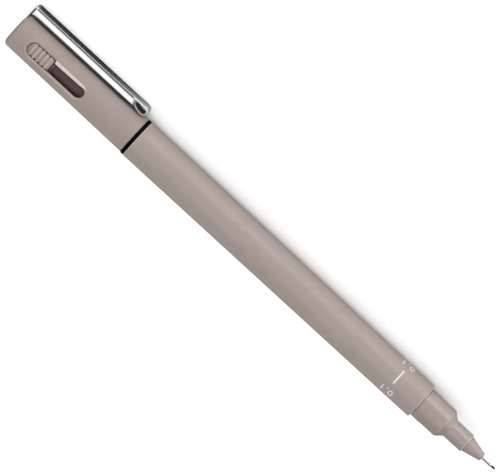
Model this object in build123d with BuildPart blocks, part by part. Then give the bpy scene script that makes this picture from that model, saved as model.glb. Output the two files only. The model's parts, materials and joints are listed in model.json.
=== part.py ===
from build123d import *
from math import asin, atan2, degrees, hypot
import os

# A fineliner pen with its cap pushed onto its tail, in millimetres.
# The origin is on the pen's axis, at the shoulder where the barrel ends and the front section comes out.
# +X runs along the pen towards the cap's closed end, so the nib points towards -X.
# The pen lies with its barrel and one edge of its clip on the same level surface, +Z up.

# Fits and clearances
press_gap = 0.01
slip_gap = 0.05
mouth_gap = 0.04
overrun = 3.0

# Barrel: a tube that swells a little from the shoulder to the tail
barrel_length = 93.5
barrel_front_diameter = 9.7
barrel_swell = 0.48
barrel_wall = 0.9
barrel_front_round = 0.3
barrel_rear_chamfer = 0.12
seat_relief = 2.0

# Section: the stepped front piece, with the seat that the cap is pushed onto
shoulder_step = 0.7
section_length = 7.75
cone_length = 1.65
nose_step = 1.55
nose_length = 5.7
nose_chamfer = 0.25
insert_length = 12.0
ledge_setback = 2.0
socket_wall = 0.64
ledge_width = 0.45

# Tip cone: stands in the nose on a stem
tip_step = 0.15
tip_length = 4.85
tip_end_diameter = 2.1
tip_end_round = 0.25
stem_diameter = 3.0
stem_length = 9.2
stem_tail = 0.3
vent_width = 0.5
vent_depth = 0.3
vent_count = 2

# Nib, its steel sleeve and the wick behind it
nib_diameter = 0.5
nib_reach = 0.98
nib_round_share = 0.8
sleeve_wall = 0.115
sleeve_reach = 3.1
sleeve_grip = 3.2
wick_diameter = 1.8
wick_socket_depth = 3.5
wick_reach = 10.0

# Ink reservoir: a fibre wad in a film
film_thickness = 0.15
reservoir_gap = 0.05
reservoir_end_gap = 0.1

# Tail plug: closes the barrel, shows as a ring, and carries the cap on a post
plug_length = 10.0
plug_web = 1.5
flange_thickness = 0.95
flange_inset = 0.07
post_length = 10.0
post_wall = 0.9
post_chamfer = 0.4

# Cap shell
cap_wall = 0.9
cap_taper = 0.17
cap_end_wall = 1.5
cap_end_round = 1.2
cap_mouth_round = 0.1
cap_tail_length = 5.1
liner_step = 0.2

# Window in the cap shell, a quarter turn from the clip
window_length = 18.0
window_width = 3.7
window_bevel = 0.5
window_bevel_angle = 45
window_turn = -90

# Inner cap: a cup that closes round the nose, with a ribbed lug in the window
liner_gap = 1.15
rim_thickness = 1.2
rim_vent_count = 4
rim_vent_width = 1.4
seal_gap = 0.05
cup_wall = 0.75
cup_end_wall = 1.1
nib_room = 0.6
tongue_gap = 0.2
tongue_overlap = 0.6
pad_setback = 0.38
pad_length = 7.3
pad_gap = 0.1
pad_inset = 0.12
rib_count = 5
rib_margin_share = 0.5
groove_radius = 0.5
groove_depth = 0.3

# Clip: a folded steel channel, hooked over the cap's closed end
sheet = 0.35
clip_width = 4.2
clip_standoff = 2.82
flange_height = 1.75
flange_corner_round = 0.5
flange_rear_setback = 0.35
flange_slant = 0.8
clip_corner_share = 0.85
bend_radius = 0.75
plate_inset = 0.15
plate_clearance = 0.05
tang_reach = 2.2
tang_width = 2.6
tang_length = 3.2
split_gap = 0.12
foot_margin = 1.3
foot_gap = 0.35
foot_rise_angle = 14
foot_return = 2.3
foot_tip_gap = 0.3

# Radii that follow
front_r = barrel_front_diameter / 2
rear_r = front_r + barrel_swell
front_seat_r = front_r - barrel_wall
rear_seat_r = rear_r - barrel_wall
cap_seat_r = front_r - shoulder_step
nose_r = cap_seat_r - nose_step
insert_r = front_seat_r - press_gap
socket_r = insert_r - socket_wall
cavity_r = socket_r - ledge_width
stem_r = stem_diameter / 2
tip_base_r = nose_r - nose_chamfer - tip_step
tip_end_r = tip_end_diameter / 2
nib_r = nib_diameter / 2
sleeve_bore_r = nib_r + press_gap
sleeve_r = sleeve_bore_r + sleeve_wall
wick_r = wick_diameter / 2
film_r = socket_r - reservoir_gap
wad_r = film_r - film_thickness
flange_r = rear_r - flange_inset
bore_r = cap_seat_r + slip_gap
mouth_r = bore_r + cap_wall
end_r = mouth_r - cap_taper
liner_bore_r = bore_r - liner_step
cup_bore_r = nose_r + seal_gap
cup_r = cup_bore_r + cup_wall
tongue_r = liner_bore_r - tongue_gap
clip_r = end_r + clip_standoff

# Stations along the pen that follow, from the nib to the cap's closed end
x_cone = -section_length
x_nose = x_cone - cone_length
x_nose_end = x_nose - nose_length
x_tip_end = x_nose_end - tip_length
x_sleeve_end = x_tip_end - sleeve_reach
x_nib_end = x_sleeve_end - nib_reach
x_sleeve_root = x_tip_end + sleeve_grip
x_stem_end = x_nose_end + stem_length
x_wick_front = x_stem_end - wick_socket_depth
x_ledge = ledge_setback
x_wick_rear = x_ledge + wick_reach
x_flange_rear = barrel_length + flange_thickness
x_plug_floor = x_flange_rear - plug_web
x_post_end = x_flange_rear + post_length
x_mouth = x_flange_rear + mouth_gap
x_liner = x_post_end + liner_gap
x_cup_floor = x_mouth - x_nib_end + nib_room
x_cup_end = x_cup_floor + cup_end_wall
x_pad = x_cup_end + pad_setback
x_pad_end = x_pad + pad_length
x_window_end = x_pad_end + pad_gap
x_window_mid = x_window_end - window_length / 2
x_cap_end = x_window_end + cap_tail_length
x_end_wall = x_cap_end - cap_end_wall
x_plate = x_cap_end - plate_inset
x_bend = x_plate - bend_radius
x_arm = x_bend - split_gap
x_foot = x_mouth + foot_margin

# The pen is turned about its axis until the clip's edge touches the surface that the barrel lies on
corner_round = sheet * clip_corner_share
corner_across = clip_width / 2 - corner_round
corner_out = clip_r - corner_round
corner_angle = atan2(corner_across, corner_out)
corner_reach = hypot(corner_across, corner_out)
clip_lean = degrees(asin((rear_r - corner_round) / corner_reach) - corner_angle)
along = Vector(1, 0, 0)
clip_direction = Vector(0, -1, 0).rotate(Axis.X, clip_lean)
clip_axis = Axis((0, 0, 0), clip_direction)
window_direction = clip_direction.rotate(Axis.X, window_turn)

# Planes that hold the pen's axis: seen from the side, local Y is the direction away from the axis
clip_side = Plane((0, 0, 0), x_dir=along, z_dir=along.cross(clip_direction))
window_side = Plane((0, 0, 0), x_dir=along, z_dir=along.cross(window_direction))
# Plane through the axis that faces the window, and one square to the axis with the window at local Y
window_face = Plane((0, 0, 0), x_dir=along, z_dir=window_direction)
window_across = Plane((0, 0, 0), x_dir=window_direction.cross(along), z_dir=along)


def half_section(*points):
    """One closed outline of (station, radius) points, to be turned about the pen's axis."""
    with BuildSketch(Plane.XY) as outline:
        with BuildLine():
            Polyline(*points, close=True)
        make_face()
    return outline.sketch.faces()


def cap_radius(station):
    """Outer radius of the cap, which tapers evenly from its mouth to its closed end."""
    return mouth_r - cap_taper * (station - x_mouth) / (x_cap_end - x_mouth)


def rims(part, end):
    """Round edges at one end of a turned piece, smallest first: end 0 is the nib's side, -1 the cap's."""
    return part.edges().filter_by(GeomType.CIRCLE).group_by(Axis.X)[end].sort_by(SortBy.RADIUS)


# Barrel
with BuildPart() as barrel:
    revolve(
        half_section(
            (0, front_seat_r),
            (0, front_r),
            (barrel_length, rear_r),
            (barrel_length, rear_seat_r),
            (barrel_length - plug_length - seat_relief, rear_seat_r),
            (insert_length + seat_relief, front_seat_r),
        ),
        axis=Axis.X,
    )
    fillet(rims(barrel, 0)[-1], barrel_front_round)
    chamfer(rims(barrel, -1)[-1], barrel_rear_chamfer)

# Section: cap seat, cone and nose outside; reservoir socket, cavity and stem bore inside
with BuildPart() as section:
    revolve(
        half_section(
            (insert_length, socket_r),
            (insert_length, insert_r),
            (0, insert_r),
            (0, cap_seat_r),
            (x_cone, cap_seat_r),
            (x_nose, nose_r),
            (x_nose_end, nose_r),
            (x_nose_end, stem_r + press_gap),
            (x_stem_end - stem_tail, stem_r + press_gap),
            (x_stem_end - stem_tail, cavity_r),
            (x_ledge, cavity_r),
            (x_ledge, socket_r),
        ),
        axis=Axis.X,
    )
    chamfer(rims(section, 0)[-1], nose_chamfer)

# Tip cone with its stem; air reaches the reservoir through the grooves along the stem
with BuildPart() as tip_cone:
    revolve(
        half_section(
            (x_tip_end, sleeve_r + press_gap),
            (x_tip_end, tip_end_r),
            (x_nose_end, tip_base_r),
            (x_nose_end, stem_r),
            (x_stem_end, stem_r),
            (x_stem_end, wick_r + press_gap),
            (x_wick_front, wick_r + press_gap),
            (x_wick_front, nib_r + press_gap),
            (x_sleeve_root, nib_r + press_gap),
            (x_sleeve_root, sleeve_r + press_gap),
        ),
        axis=Axis.X,
    )
    fillet(rims(tip_cone, 0)[-1], tip_end_round)
    with BuildSketch(Plane.YZ.offset(x_nose_end)):
        with PolarLocations(stem_r, vent_count):
            Rectangle(2 * vent_depth, vent_width)
    extrude(amount=stem_length, mode=Mode.SUBTRACT)

# Steel sleeve round the nib
with BuildPart() as nib_sleeve:
    revolve(
        half_section(
            (x_sleeve_end, sleeve_bore_r),
            (x_sleeve_end, sleeve_r),
            (x_sleeve_root, sleeve_r),
            (x_sleeve_root, sleeve_bore_r),
        ),
        axis=Axis.X,
    )

# Nib: a thin core from the wick to the paper
with BuildPart() as nib:
    revolve(
        half_section((x_nib_end, 0), (x_nib_end, nib_r), (x_wick_front, nib_r), (x_wick_front, 0)),
        axis=Axis.X,
    )
    fillet(rims(nib, 0)[-1], nib_r * nib_round_share)

# Wick: leads ink from the reservoir into the stem
with BuildPart() as ink_wick:
    revolve(
        half_section((x_wick_front, 0), (x_wick_front, wick_r), (x_wick_rear, wick_r), (x_wick_rear, 0)),
        axis=Axis.X,
    )

# Ink reservoir, with the hole that the wick stands in
x_reservoir_end = x_plug_floor - reservoir_end_gap
with BuildPart() as ink_reservoir:
    revolve(
        half_section(
            (x_ledge, wick_r + press_gap),
            (x_ledge, wad_r - press_gap),
            (x_reservoir_end, wad_r - press_gap),
            (x_reservoir_end, 0),
            (x_wick_rear, 0),
            (x_wick_rear, wick_r + press_gap),
        ),
        axis=Axis.X,
    )

# Film round the reservoir
with BuildPart() as reservoir_film:
    revolve(
        half_section(
            (x_ledge, wad_r),
            (x_ledge, film_r),
            (x_reservoir_end, film_r),
            (x_reservoir_end, wad_r),
        ),
        axis=Axis.X,
    )

# Tail plug: cup that holds the reservoir's end, flange and hollow post
with BuildPart() as tail_plug:
    revolve(
        half_section(
            (barrel_length - plug_length, socket_r),
            (barrel_length - plug_length, rear_seat_r - press_gap),
            (barrel_length, rear_seat_r - press_gap),
            (barrel_length, flange_r),
            (x_flange_rear, flange_r),
            (x_flange_rear, cap_seat_r),
            (x_post_end, cap_seat_r),
            (x_post_end, cap_seat_r - post_wall),
            (x_flange_rear, cap_seat_r - post_wall),
            (x_flange_rear, 0),
            (x_plug_floor, 0),
            (x_plug_floor, socket_r),
        ),
        axis=Axis.X,
    )
    chamfer(rims(tail_plug, -1)[-1], post_chamfer)

# Cap shell, with its window and the notch and slot that take the clip
with BuildPart() as cap_shell:
    x_liner_step = x_post_end + liner_gap / 2
    revolve(
        half_section(
            (x_mouth, bore_r),
            (x_mouth, mouth_r),
            (x_cap_end, end_r),
            (x_cap_end, 0),
            (x_end_wall, 0),
            (x_end_wall, liner_bore_r),
            (x_liner_step, liner_bore_r),
            (x_liner_step, bore_r),
        ),
        axis=Axis.X,
    )
    fillet(rims(cap_shell, -1)[-1], cap_end_round)
    fillet(rims(cap_shell, 0)[-1], cap_mouth_round)
    with BuildSketch(window_face):
        with Locations((x_window_mid, 0)):
            SlotOverall(window_length, window_width)
    extrude(amount=mouth_r + overrun, mode=Mode.SUBTRACT)
    with BuildSketch(window_face.offset(cap_radius(x_window_mid) - window_bevel)):
        with Locations((x_window_mid, 0)):
            SlotOverall(window_length, window_width)
    extrude(amount=2 * window_bevel, taper=-window_bevel_angle, mode=Mode.SUBTRACT)
    with BuildSketch(clip_side):
        with Locations((x_plate - sheet, tang_reach - plate_clearance)):
            Rectangle(sheet + overrun, mouth_r, align=(Align.MIN, Align.MIN))
    extrude(amount=clip_width / 2 + plate_clearance, both=True, mode=Mode.SUBTRACT)
    with BuildSketch(clip_side):
        with Locations((x_cap_end, tang_reach - plate_clearance)):
            Rectangle(cap_end_wall + overrun, sheet + 2 * plate_clearance, align=(Align.MAX, Align.MIN))
    extrude(amount=tang_width / 2 + plate_clearance, both=True, mode=Mode.SUBTRACT)

# Ribbed pad on the inner cap's lug: fills the rear end of the window, a little below the cap's surface
rib_pitch = pad_length / (rib_count + rib_margin_share)
x_pad_mid = x_pad + pad_length / 2
pad_foot_r = (cup_bore_r + tongue_r) / 2
with BuildPart() as rib_pad:
    with BuildSketch(window_face.offset(pad_foot_r)):
        with Locations((x_window_mid, 0)):
            SlotOverall(window_length - 2 * pad_gap, window_width - 2 * pad_gap)
        with Locations((x_pad, 0)):
            Rectangle(pad_length, window_width, align=(Align.MIN, Align.CENTER), mode=Mode.INTERSECT)
    extrude(amount=mouth_r)
    revolve(
        half_section(
            (x_mouth, 0),
            (x_mouth, cap_radius(x_mouth) - pad_inset),
            (x_cap_end, cap_radius(x_cap_end) - pad_inset),
            (x_cap_end, 0),
        ),
        axis=Axis.X,
        mode=Mode.INTERSECT,
    )
    with BuildSketch(window_side):
        with Locations((x_pad_mid, cap_radius(x_pad_mid) - pad_inset - groove_depth + groove_radius)):
            with GridLocations(rib_pitch, 0, rib_count + 1, 1):
                Circle(groove_radius)
    extrude(amount=window_width, both=True, mode=Mode.SUBTRACT)

# Inner cap: rim, cup, tongue and pad
with BuildPart() as inner_cap:
    rim_r = liner_bore_r - press_gap
    revolve(
        half_section(
            (x_liner, cup_bore_r),
            (x_liner, rim_r),
            (x_liner + rim_thickness, rim_r),
            (x_liner + rim_thickness, cup_r),
            (x_cup_end, cup_r),
            (x_cup_end, 0),
            (x_cup_floor, 0),
            (x_cup_floor, cup_bore_r),
        ),
        axis=Axis.X,
    )
    with BuildSketch(window_across.offset(x_liner)):
        with PolarLocations(rim_r, rim_vent_count):
            Rectangle(rim_r - cup_r, rim_vent_width)
    extrude(amount=rim_thickness, mode=Mode.SUBTRACT)
    with BuildSketch(window_across.offset(x_cup_floor)):
        Circle(tongue_r)
        Circle(cup_bore_r, mode=Mode.SUBTRACT)
        Rectangle(
            window_width + 2 * tongue_overlap,
            mouth_r,
            align=(Align.CENTER, Align.MIN),
            mode=Mode.INTERSECT,
        )
    extrude(amount=x_pad_end + tongue_overlap - x_cup_floor)
    add(rib_pad.part)

# Clip root: tang, end plate and the outer bend
with BuildPart() as clip_root:
    with BuildSketch(clip_side):
        with BuildLine():
            plate = Line((x_plate, tang_reach), (x_plate, clip_r - bend_radius))
            bend = CenterArc((x_bend, clip_r - bend_radius), bend_radius, 0, 90)
            offset(amount=sheet, side=Side.LEFT)
        make_face()
    extrude(amount=clip_width / 2, both=True)
    fillet(clip_root.edges().filter_by(clip_axis).group_by(Axis.X)[-1], corner_round)
    with BuildSketch(clip_side):
        with Locations((x_plate, tang_reach)):
            Rectangle(tang_length, sheet, align=(Align.MAX, Align.MIN))
    extrude(amount=tang_width / 2, both=True)

# Clip arm: web with a curled foot, and a flange along each edge
foot_r = cap_radius(x_foot) + foot_gap
curl_radius = (clip_r - foot_r) / 2
x_curl = x_foot + curl_radius
with BuildPart() as clip_arm:
    with BuildSketch(clip_side) as web_outline:
        with BuildLine():
            web = Line((x_arm, clip_r), (x_curl, clip_r))
            curl = CenterArc((x_curl, clip_r - curl_radius), curl_radius, 90, 180 + foot_rise_angle)
            tip = PolarLine(curl @ 1, foot_return, foot_rise_angle)
            offset(amount=sheet, side=Side.LEFT)
        make_face()
    extrude(amount=clip_width / 2, both=True)
    x_flange = (tip @ 1).X + foot_tip_gap
    for side in (-1, 1):
        with BuildSketch(clip_side.offset(side * (clip_width - sheet) / 2)) as flange:
            with BuildLine():
                Polyline(
                    (x_arm - flange_rear_setback, clip_r - sheet / 2),
                    (x_arm - flange_rear_setback, clip_r - flange_height),
                    (x_flange, clip_r - flange_height),
                    (x_flange + flange_slant, clip_r - sheet / 2),
                    close=True,
                )
            make_face()
            fillet(flange.vertices().sort_by(Axis.Y)[:2].sort_by(Axis.X)[-1], flange_corner_round)
        extrude(amount=sheet / 2, both=True)
    fillet(clip_arm.edges().filter_by(Axis.X).group_by(clip_axis)[-1], corner_round)

pieces = {
    "barrel": barrel,
    "section": section,
    "tip_cone": tip_cone,
    "nib_sleeve": nib_sleeve,
    "nib": nib,
    "ink_wick": ink_wick,
    "ink_reservoir": ink_reservoir,
    "reservoir_film": reservoir_film,
    "tail_plug": tail_plug,
    "cap_shell": cap_shell,
    "inner_cap": inner_cap,
    "clip_root": clip_root,
    "clip_arm": clip_arm,
}
os.makedirs("parts", exist_ok=True)
for name, piece in pieces.items():
    piece.part.label = name
    export_step(piece.part, f"parts/{name}.step")
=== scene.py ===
# %% [markdown]
# # A fineliner pen, dressed for the camera
#
# The pen comes from CAD as separate pieces at their real size. Blender's work is the looks: soft edges, a
# satin skin, a folded chrome clip, printed marks and a studio to see them in. The CAD model is loaded as
# a fixed frame, so nothing here is moved or fitted: each new surface is worked out where the CAD says it
# is.

# %% Load the frame
import json
from math import radians

import bmesh
import bpy
import numpy as np
from mathutils import Matrix, Vector


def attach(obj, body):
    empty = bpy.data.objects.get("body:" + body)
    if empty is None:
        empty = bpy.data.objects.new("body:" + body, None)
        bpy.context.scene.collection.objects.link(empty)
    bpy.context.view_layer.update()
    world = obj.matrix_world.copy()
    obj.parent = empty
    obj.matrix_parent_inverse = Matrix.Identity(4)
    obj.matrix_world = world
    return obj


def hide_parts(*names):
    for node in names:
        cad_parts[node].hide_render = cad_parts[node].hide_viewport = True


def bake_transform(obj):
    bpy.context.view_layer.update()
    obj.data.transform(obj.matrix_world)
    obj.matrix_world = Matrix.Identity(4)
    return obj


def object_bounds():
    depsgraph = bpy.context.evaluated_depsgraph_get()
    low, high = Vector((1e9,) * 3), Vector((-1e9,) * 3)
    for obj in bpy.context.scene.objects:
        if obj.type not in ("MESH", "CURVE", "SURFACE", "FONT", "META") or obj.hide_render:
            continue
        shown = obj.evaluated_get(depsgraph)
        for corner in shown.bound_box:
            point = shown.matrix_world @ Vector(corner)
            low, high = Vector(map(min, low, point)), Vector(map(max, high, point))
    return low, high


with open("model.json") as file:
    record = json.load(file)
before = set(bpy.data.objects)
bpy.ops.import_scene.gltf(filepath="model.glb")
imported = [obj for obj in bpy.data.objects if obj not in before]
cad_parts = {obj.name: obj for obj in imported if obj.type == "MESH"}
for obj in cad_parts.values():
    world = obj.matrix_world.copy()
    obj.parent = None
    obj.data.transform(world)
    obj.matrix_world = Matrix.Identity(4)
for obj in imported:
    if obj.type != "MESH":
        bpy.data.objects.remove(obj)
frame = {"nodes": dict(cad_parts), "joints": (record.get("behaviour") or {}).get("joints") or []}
cad_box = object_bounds()
print("CAD nodes:", ", ".join(sorted(frame["nodes"])))

# %% [markdown]
# ## The pen's own axes
#
# A pen is a turned thing, so it is easiest to draw in its own axes: along the barrel, out towards the
# window in the cap, and out towards the clip. The clip's hinge in the CAD record lies across the clip,
# which is the window's direction, and the third axis follows from the other two. Sizes below are in
# millimetres, and one function turns them into Blender's metres at the very end. Only the studio and the
# shaders, which are Blender's own, are written in metres.

# %% Axes and the CAD's own measures
MM = 0.001
hinge = next(joint for joint in frame["joints"] if joint["name"] == "clip_flex")
along = np.array((1.0, 0.0, 0.0))
window_way = np.array(hinge["axis"])
clip_way = np.cross(along, window_way)
pen_axes = np.array((along, window_way, clip_way))


def to_row(points):
    """Points given as (along, to the window, to the clip) in millimetres, in the row frame in metres."""
    return np.asarray(points) @ pen_axes * MM


def reach(node):
    """First and last station of a CAD node along the pen, and its largest radius about the pen's axis."""
    mesh = frame["nodes"][node].data
    points = np.empty(3 * len(mesh.vertices), np.float32)
    mesh.vertices.foreach_get("co", points)
    x, y, z = points.reshape(-1, 3).T / MM
    return x.min(), x.max(), np.hypot(y, z).max()


x_shoulder, x_tail, tail_r = reach("barrel")
x_nose_end, _, seat_r = reach("section")
print(f"barrel {x_tail - x_shoulder:.1f} mm long, radius {tail_r:.2f} mm at its tail")

# %% [markdown]
# ## Camera
#
# The photograph looks squarely at the pen's axis from far away, a little round from the window towards
# the clip, with the pen lying across the picture from the upper left to the lower right. A long lens far
# off gives that flat perspective. The camera could be aimed with a Track To constraint, but that leaves
# its roll to Blender. Here its three axes are written down: one looks back along the view, and the pen's
# image direction fixes the other two.

# %% Camera
view_turn = radians(16.5)       # from the window towards the clip
image_slope = np.array((0.734, 0.679))      # how the cap-to-nib direction runs right and down in the picture
aim_station, aim_aside = 57.4, 1.0
picture_width = 120.75
lens, sensor, sight = 450.0, 36.0, 100.0

towards_camera = np.cos(view_turn) * window_way + np.sin(view_turn) * clip_way
to_nib = -along
to_clip_side = np.cross(towards_camera, to_nib)
camera_right = image_slope[0] * to_nib + image_slope[1] * to_clip_side
camera_up = -image_slope[1] * to_nib + image_slope[0] * to_clip_side
aim = (aim_station * along + aim_aside * to_clip_side) * MM
distance = picture_width * MM * lens / sensor

camera = bpy.data.objects.new("camera", bpy.data.cameras.new("camera"))
camera.data.lens = lens
camera.data.sensor_width = sensor
camera.data.clip_end = sight
turn = Matrix((camera_right, camera_up, towards_camera)).transposed().to_4x4()
camera.matrix_world = Matrix.Translation(aim + distance * towards_camera) @ turn
bpy.context.scene.collection.objects.link(camera)
bpy.context.scene.camera = camera
bpy.context.scene.view_settings.view_transform = "Standard"
print(f"camera {distance:.2f} m away, looking along {np.round(-towards_camera, 3)}")

# %% [markdown]
# ## Shader helpers
#
# Materials in Blender are little graphs of nodes. Writing each node and link by hand is long, so one
# helper makes a node, sets its properties and fills its inputs, either with a value or with another
# node's output. The others are named for what they do to a surface. Colours are easier to think of as
# screen values from 0 to 255, while shaders want linear light, so one helper undoes the screen's curve.

# %% Nodes and colours
mix_first, mix_second, mix_result = 6, 7, 2       # the colour sockets among a Mix node's many


def add_node(tree, kind, inputs=None, **settings):
    """One shader node: settings are its own properties, inputs are values or the outputs of other nodes."""
    node = tree.nodes.new("ShaderNode" + kind)
    for name, value in settings.items():
        setattr(node, name, value)
    for name, value in (inputs or {}).items():
        if isinstance(value, bpy.types.NodeSocket):
            tree.links.new(value, node.inputs[name])
        else:
            node.inputs[name].default_value = value
    return node


def new_material(name, **plain):
    """A material with a Principled shader whose plain, even values are set on its own sockets."""
    material = bpy.data.materials.new(name)
    material.use_nodes = True
    shader = material.node_tree.nodes["Principled BSDF"]
    for socket, value in plain.items():
        shader.inputs[socket.replace("_", " ")].default_value = value
    return material, material.node_tree, shader


def paint(red, green, blue):
    """A screen colour as linear light: each channel is raised to the power that the screen's curve undoes."""
    screen = np.array((red, green, blue)) / 255
    linear = np.where(screen > 0.04045, ((screen + 0.055) / 1.055) ** 2.4, screen / 12.92)
    return (*linear, 1.0)


def grey(light):
    """A grey of the given linear light."""
    return (light, light, light, 1.0)


def tinted(colour, share):
    """A colour with each channel's light times a share."""
    return [*(np.array(colour[:3]) * share), 1.0]


def mix(tree, share, first, second):
    """The first colour where share is 0, the second where it is 1."""
    inputs = {"Factor": share, mix_first: first, mix_second: second}
    return add_node(tree, "Mix", inputs, data_type="RGBA").outputs[mix_result]


print("middle grey of a screen, as linear light:", round(float(paint(128, 128, 128)[0]), 3))


# %% Places, patterns and sums
def place_on(tree):
    """Object coordinates: where a point lies in the piece's own frame, in metres."""
    return add_node(tree, "TexCoord").outputs["Object"]


def wear_and_light_on(tree):
    """The value that every point of a piece carries: edges paler from use and from a painted highlight, or
    painted dark lines.
    """
    return add_node(tree, "Attribute", attribute_name="wear_and_light").outputs["Fac"]


def noise(tree, vector, scale, detail=2.0, rough=0.5):
    """Cloudy values from 0 to 1; scale is in clouds per metre."""
    inputs = {"Vector": vector, "Scale": scale, "Detail": detail, "Roughness": rough}
    return add_node(tree, "TexNoise", inputs).outputs["Fac"]


def streaks(tree, place, along_scale, across_scale, detail, rough=0.5):
    """Clouds drawn out along the pen; the scales are in clouds per metre along and across it."""
    inputs = {"Vector": place, "Scale": (along_scale, across_scale, across_scale)}
    drawn_out = add_node(tree, "Mapping", inputs).outputs["Vector"]
    return noise(tree, drawn_out, 1.0, detail, rough)


def combine(tree, operation, *values):
    """One sum of a Math node on two or three values, each a number or another node's output."""
    return add_node(tree, "Math", dict(enumerate(values)), operation=operation).outputs[0]


def spread(tree, value, low, high, start=0.3, stop=0.7):
    """Stretches a value from start..stop to low..high, and keeps it inside."""
    inputs = {"Value": value, "From Min": start, "From Max": stop, "To Min": low, "To Max": high}
    return add_node(tree, "MapRange", inputs).outputs["Result"]


def roughen(tree, shader, height, strength, distance):
    """Lets the light feel a value as a height: distance is the full height in metres, strength its share."""
    bump = add_node(tree, "Bump", {"Height": height, "Strength": strength, "Distance": distance})
    tree.links.new(bump.outputs["Normal"], shader.inputs["Normal"])


print("helpers:", ", ".join(helper.__name__ for helper in (noise, streaks, combine, spread, roughen)))

# %% [markdown]
# ## Floor
#
# The photograph is a plain product shot: soft light, white ground. A brighter lamp would whiten the
# ground and bleach the pen too. So the lamps stay at a plain level, and the floor itself shows a little
# light of its own to the camera and to reflections. That lift is taken away near the pen by ambient
# occlusion, so the floor keeps the pen's shadow.
#
# For reflections alone, the floor is also dark close to the pen and beyond it, as if a black card lay
# there. Photographers do this with shiny things: the pen's far edge then mirrors something dark and keeps
# its outline against the white.

# %% Floor plane
floor_z = cad_box[0].z
floor_half = 6.0
floor_corners = [(x * floor_half, y * floor_half, floor_z) for x, y in ((-1, -1), (1, -1), (1, 1), (-1, 1))]
floor_mesh = bpy.data.meshes.new("floor")
floor_mesh.from_pydata(floor_corners, [], [(0, 1, 2, 3)])
floor = bpy.data.objects.new("floor", floor_mesh)
bpy.context.scene.collection.objects.link(floor)
print(f"floor at {floor_z / MM:.2f} mm")

# %% White ground
floor_lift, shadow_depth = 0.7, 0.22
shadow_reach, mirror_reach = 0.006, 0.005
gap_from, gap_to = 0.05, 0.3
crowd_from, crowd_to, mirror_power = 0.4, 0.8, 4.0
flag, floor_flag_edge = 0.9, 0.005
dark_ground, pale_ground, card = grey(0.58), grey(0.62), grey(0.04)


def sky_above(tree, distance):
    """How open the sky is over a point, as far as a distance: 0 in a gap, 1 in the open."""
    return add_node(tree, "AmbientOcclusion", {"Distance": distance}, samples=8).outputs["AO"]


white = {"Roughness": 0.9, "Specular_IOR_Level": 0.0, "Emission_Color": grey(1.0)}
white_ground, tree, shader = new_material("white ground", **white)
place = place_on(tree)
rays = add_node(tree, "LightPath").outputs
mirror_ray = rays["Is Glossy Ray"]
seen = combine(tree, "MAXIMUM", rays["Is Camera Ray"], rays["Is Transmission Ray"])
near_sky, wide_sky = sky_above(tree, shadow_reach), sky_above(tree, mirror_reach)
shadow = spread(tree, near_sky, 1 - shadow_depth, 1, 0, 1)
shadow = combine(tree, "MULTIPLY", shadow, spread(tree, near_sky, 0, 1, gap_from, gap_to))
far_off = add_node(tree, "SeparateXYZ", {0: place}).outputs["Y"]
flagged = spread(tree, far_off, 0, flag, 0.0, floor_flag_edge)
shaded = combine(tree, "MAXIMUM", spread(tree, wide_sky, 1, 0, crowd_from, crowd_to), flagged)
shaded = combine(tree, "MULTIPLY", shaded, mirror_ray)
ground = mix(tree, noise(tree, place, scale=40), dark_ground, pale_ground)
tree.links.new(mix(tree, shaded, ground, card), shader.inputs["Base Color"])
mirrored = combine(tree, "MULTIPLY", combine(tree, "POWER", wide_sky, mirror_power), mirror_ray)
mirrored = combine(tree, "MULTIPLY", mirrored, combine(tree, "SUBTRACT", 1.0, flagged))
lift = combine(tree, "MULTIPLY_ADD", seen, shadow, mirrored)
tree.links.new(combine(tree, "MULTIPLY", lift, floor_lift), shader.inputs["Emission Strength"])
floor_mesh.materials.append(white_ground)
print(f"white ground: {len(tree.nodes)} nodes")

# %% [markdown]
# ## Light
#
# A soft sky and four panels do the rest. The sky is bright overhead and dim towards the horizon: plastic
# hardly notices, but chrome and steel mirror the dim part as the dark lines that make them look like
# metal. For mirrors, the far side of the sky is flagged dark like the floor below it. The panels could be
# glowing planes, but area lamps give a cleaner picture. One above whitens the side of the clip, a long
# low one in front lays the soft gleam along the barrel, one beyond the nib lights the cones, and one
# behind fills the far side, where no mirror may show it.

# %% Sky
zenith, horizon = 0.89, 0.13
dim_below, bright_above = 0.5, 0.75
sky_flag_edge = 0.12
world = bpy.data.worlds.new("soft sky")
world.use_nodes = True
tree = world.node_tree
way = add_node(tree, "SeparateXYZ", {0: add_node(tree, "TexCoord").outputs["Generated"]}).outputs
strength = spread(tree, way["Z"], horizon, zenith, dim_below, bright_above)
flagged = spread(tree, way["Y"], 0, flag, 0.0, sky_flag_edge)
flagged = combine(tree, "MULTIPLY", flagged, add_node(tree, "LightPath").outputs["Is Glossy Ray"])
strength = combine(tree, "MULTIPLY", strength, combine(tree, "SUBTRACT", 1.0, flagged))
tree.links.new(strength, tree.nodes["Background"].inputs["Strength"])
tree.nodes["Background"].inputs["Color"].default_value = grey(1.0)
bpy.context.scene.world = world
print(f"sky from {horizon} at the horizon to {zenith} overhead")


# %% Panels
def soft_panel(name, turn, height, distance, length, width, radiance, mirrored=True):
    """A lamp that faces the pen: turn 0 is in front, 90 degrees beyond the nib, and height 90 is overhead.

    Its power is pi times its area times the radiance that a mirror should show."""
    turn, height = radians(turn), radians(height)
    lamp = bpy.data.lights.new(name, "AREA")
    lamp.shape = "RECTANGLE"
    lamp.size = length
    lamp.size_y = width
    lamp.energy = np.pi * length * width * radiance
    panel = bpy.data.objects.new(name, lamp)
    side = np.array((np.cos(turn), -np.sin(turn), 0))
    level = np.array((-np.sin(turn), -np.cos(turn), 0))
    way = np.cos(height) * level + np.sin(height) * np.array((0, 0, 1))
    facing = Matrix((side, np.cross(way, side), way)).transposed().to_4x4()
    panel.matrix_world = Matrix.Translation(aim + distance * way) @ facing
    panel.visible_glossy = mirrored
    bpy.context.scene.collection.objects.link(panel)
    print(f"{name}: {lamp.energy:.2f} W")


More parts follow.
